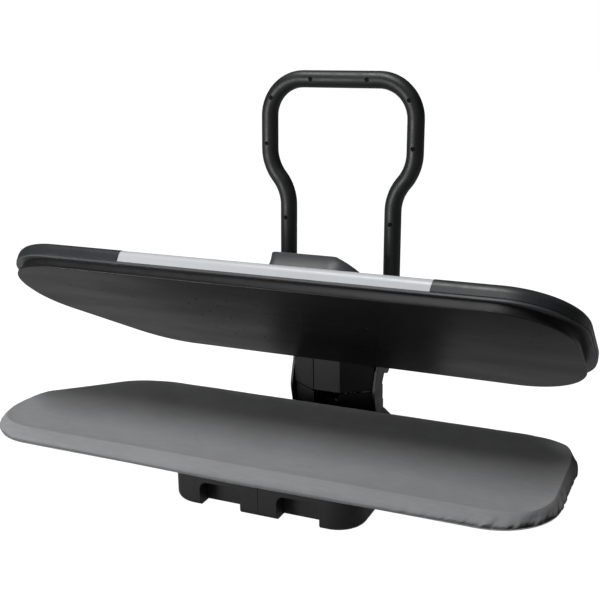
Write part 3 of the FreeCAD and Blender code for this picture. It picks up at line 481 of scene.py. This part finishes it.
def gather_strength(point):
    """1 where the hem is drawn in round a tight corner, low along the straight front."""
    right = max(0.0, (point.x - 0.35) / 0.08)
    left = max(0.0, (-0.36 - point.x) / 0.10)
    return min(1.0, 0.10 + max(right, left * 0.8))


def pull(point):
    """How hard the elastic gathers the band at one place, from 0 to 1."""
    right = max(0.0, min(1.0, (point.x - 0.20) / 0.16))
    left = max(0.0, min(1.0, (-0.33 - point.x) / 0.08))
    return max(0.06, right, 0.6 * left)


PULLS = [pull(point) for point, _ in board_outline(0.0, AROUND)]


def pull_at(share):
    return PULLS[int(share * AROUND) % AROUND]


def pleat(share, level):
    """Sharp slanting folds of the band, inward from the outline."""
    along = share * 2.2 + (0.101 - level) * 0.9
    fold = abs(fabric_noise(along * 75, level * 14, 0, 2)) + 0.5 * abs(
        fabric_noise(along * 190, level * 20, 0, 3))
    return pull_at(share) * 0.0036 * min(1.0, fold * 1.3)


def scallop(share):
    """The uneven lower edge between two folds."""
    wave = fabric_noise(share * 2.2 * 85, 0.3, 0, 7)
    return pull_at(share) * 0.0017 * wave


def edge_width(normal):
    """The rolled edge is widest along the front and tightest at the back and the right end."""
    return (1 - 0.48 * max(0.0, min(1.0, (normal.x - 0.25) / 0.5))
            - 0.40 * max(0.0, min(1.0, (-normal.x - 0.3) / 0.5))
            - 0.45 * max(0.0, min(1.0, (normal.y - 0.2) / 0.5)))


def dimples(flat):
    """The stretched top's slight crown and unevenness."""
    return (0.0005 * max(0.0, 1 - (flat.y / 0.147) ** 2)
            + 0.00040 * fabric_noise(flat.x * 13, flat.y * 16, 0, 1)
            + 0.00012 * fabric_noise(flat.x * 60, flat.y * 45, 0, 4))


def top_places(ring, share):
    """Places on the top, a share of the way from the board's middle line to its edge."""
    return [spine_point(point).lerp(point - normal * TOP_INSET, share) for point, normal in ring]


def roll_row(ring, inset, height):
    """One row of the rolled edge and of the band below it."""
    row = []
    drawn = max(0.0, min(1.0, (107.0 - height) / 6))
    for k, (point, normal) in enumerate(ring):
        share, level = k / AROUND, height * MM
        fold = pleat(share, level) * drawn
        flat = point - normal * (inset * edge_width(normal) * MM + fold)
        if level < BAND_TOP:
            low = hem_level(point.x) + HEM_LIFT + scallop(share)
            level = BAND_TOP - (BAND_TOP - level) / BAND_DEPTH * (BAND_TOP - low)
        row.append((flat.x, flat.y, level + dimples(flat) * max(0, inset - 8) / 14))
    return row


def under_row(ring, inset, drop):
    """One row of the strip turned in under the pan."""
    row = []
    for k, (point, normal) in enumerate(ring):
        share = k / AROUND
        fold = pleat(share, BAND_TOP - BAND_DEPTH) * (1 - min(1.0, inset / 14))
        flat = point - normal * (inset * MM + fold)
        edge = hem_level(point.x) + HEM_LIFT + scallop(share) * (1 - inset / 20)
        row.append((flat.x, flat.y,
                    edge + (UNDER_LEVEL - edge) * min(1.0, inset / 9) - drop * MM * 0.3))
    return row


def cover_rows(ring):
    """The sheet's rows, from the middle of the top over the rolled edge to the elastic."""
    rows = [[(flat.x, flat.y, TOP_LEVEL + dimples(flat)) for flat in top_places(ring, share)]
            for share in TOP_SHARES]
    rows += [roll_row(ring, inset, height) for inset, height in ROLL]
    rows += [under_row(ring, inset, drop) for inset, drop in UNDER]
    return rows


def loose_band(vertices, ring, first, last):
    """A copy of the gathered stretches of the band, and where each of its points came from."""
    count = len(ring)
    loose = [gather_strength(point) > LOOSE_FROM for point, _ in ring]
    held = [k for k in range(count) if loose[k] or loose[k - 1] or loose[(k + 1) % count]]
    place = {k: i for i, k in enumerate(held)}
    wide = len(held)
    sources = [(row, k) for row in range(first - 1, last + 1) for k in held]
    points = [vertices[row * count + k].co.copy() for row, k in sources]
    faces = []
    for row in range(last - first + 1):
        for k in held:
            if (k + 1) % count in place:
                a, b = row * wide + place[k], row * wide + place[(k + 1) % count]
                faces.append((a, b, b + wide, a + wide))
    mesh = bpy.data.meshes.new("band")
    mesh.from_pydata([tuple(point) for point in points], [], faces)
    band = bpy.data.objects.new("band", mesh)
    bpy.context.scene.collection.objects.link(band)
    pins = band.vertex_groups.new(name="held")
    slack = band.vertex_groups.new(name="slack")
    for index, (point, (row, k)) in enumerate(zip(points, sources)):
        strength = gather_strength(ring[k][0])
        fixed = row in (first - 1, last) or not loose[k]
        pins.add([index], 1.0 if fixed else 0.0, "REPLACE")
        slack.add([index], strength, "REPLACE")
        if not fixed:
            push = fabric_noise(point.x * 120, point.y * 120, point.z * 50, 5)
            mesh.vertices[index].co += Vector((*(ring[k][1] * push * 0.0008 * strength), 0))
    return band, points, sources


def settle_cloth(thing, ring):
    """Lets the band at both ends find its gathers under the elastic, then keeps the result."""
    count = len(ring)
    vertices = thing.data.vertices
    band, points, sources = loose_band(vertices, ring, len(TOP_SHARES) + SOFT_START,
                                       len(TOP_SHARES) + len(ROLL) + len(UNDER) - 1)
    cloth = band.modifiers.new("cloth", "CLOTH")
    settings = cloth.settings
    settings.quality = 4
    settings.mass = 0.15
    settings.tension_stiffness = settings.compression_stiffness = 25
    settings.shear_stiffness = 8
    settings.bending_stiffness = 0.02
    settings.vertex_group_mass = "held"
    settings.vertex_group_shrink = "slack"
    settings.shrink_min, settings.shrink_max = 0.0, -0.22
    settings.effector_weights.gravity = 0.0
    cloth.point_cache.frame_start, cloth.point_cache.frame_end = 1, 20
    scene = bpy.context.scene
    for step in range(CLOTH_STEPS):
        scene.frame_set(step + 1)
    shaped = band.evaluated_get(bpy.context.evaluated_depsgraph_get())
    after = [vertex.co.copy() for vertex in shaped.to_mesh().vertices]
    shaped.to_mesh_clear()
    shifts = [end - start for start, end in zip(points, after)]
    print(f"cloth: {len(points)} points, moved up to "
          f"{max(shift.length for shift in shifts) * 1000:.1f} mm")
    for point, shift, (row, k) in zip(points, shifts, sources):
        if shift.length > MOST_SHIFT:
            shift *= MOST_SHIFT / shift.length
        vertices[row * count + k].co = point + shift
    scene.frame_set(1)
    bpy.data.objects.remove(band)


def board_cover():
    """The cotton cover: a tight top, a rolled edge, and a band gathered under the pan."""
    ring = board_outline(0.0, AROUND)
    points, faces = ring_mesh(cover_rows(ring), AROUND)
    cover = add_mesh("cover", points, faces, "cover_cloth", "base")
    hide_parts("board_cover")
    settle_cloth(cover, ring)
    thick = cover.modifiers.new("thickness", "SOLIDIFY")
    thick.thickness, thick.offset = 0.0009, -1.0
    stitches = hem_stitches(cover.data.vertices)


def hem_stitches(vertices):
    """Two lines of short stitches along the band, just above its lower edge."""
    points, faces = [], []
    for row in (len(TOP_SHARES) + 9, len(TOP_SHARES) + 10):
        for k in range(AROUND):
            here = vertices[row * AROUND + k].co
            there = vertices[row * AROUND + (k + 1) % AROUND].co
            beside = vertices[(row + 1) * AROUND + k].co
            along = there - here
            down = (beside - here).normalized()
            out = along.cross(down).normalized()
            if out.dot(Vector((here.x * 0.4, here.y, 0))) < 0:
                out = -out
            a, b = here + along * 0.12, here + along * 0.82
            half = down * 0.00028
            lift = out * 0.00022
            base = len(points)
            points += [a - half, a + half, b + half, b - half,
                       a.lerp(b, 0.3) + lift, a.lerp(b, 0.7) + lift]
            faces += [(base, base + 1, base + 4), (base + 1, base + 2, base + 5, base + 4),
                      (base + 2, base + 3, base + 5), (base + 3, base, base + 4, base + 5)]
    return add_mesh("cover_stitches", points, faces, "thread", "base")


def foam_pad():
    """The foam under the cover, with a rolled upper edge."""
    count = 240
    ring = board_outline(-3.0, count)
    rows = [[(flat.x, flat.y, FOAM_LEVEL) for flat in top_places(ring, share)]
            for share in (0.03, 0.4, 0.7, 0.9)]
    for inset, height in ((19, 105.0), (13, 102.6), (9.5, 99.8), (8, 97.0), (7.4, 94.6),
                          (7.2, 92.4), (7.6, 91.3), (9.0, 91.05)):
        edge = [point - normal * inset * edge_width(normal) * MM for point, normal in ring]
        rows.append([(flat.x, flat.y, height * MM) for flat in edge])
    points, faces = ring_mesh(rows, count)
    last = (len(rows) - 1) * count
    faces.append(tuple(range(last, last + count)))
    pad = add_mesh("foam_pad_soft", points, faces, "foam", "base")
    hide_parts("foam_pad")


# ---------------------------------------------------------------- assembly

make_camera()
make_studio()
dress_nodes()
foam_pad()
board_cover()
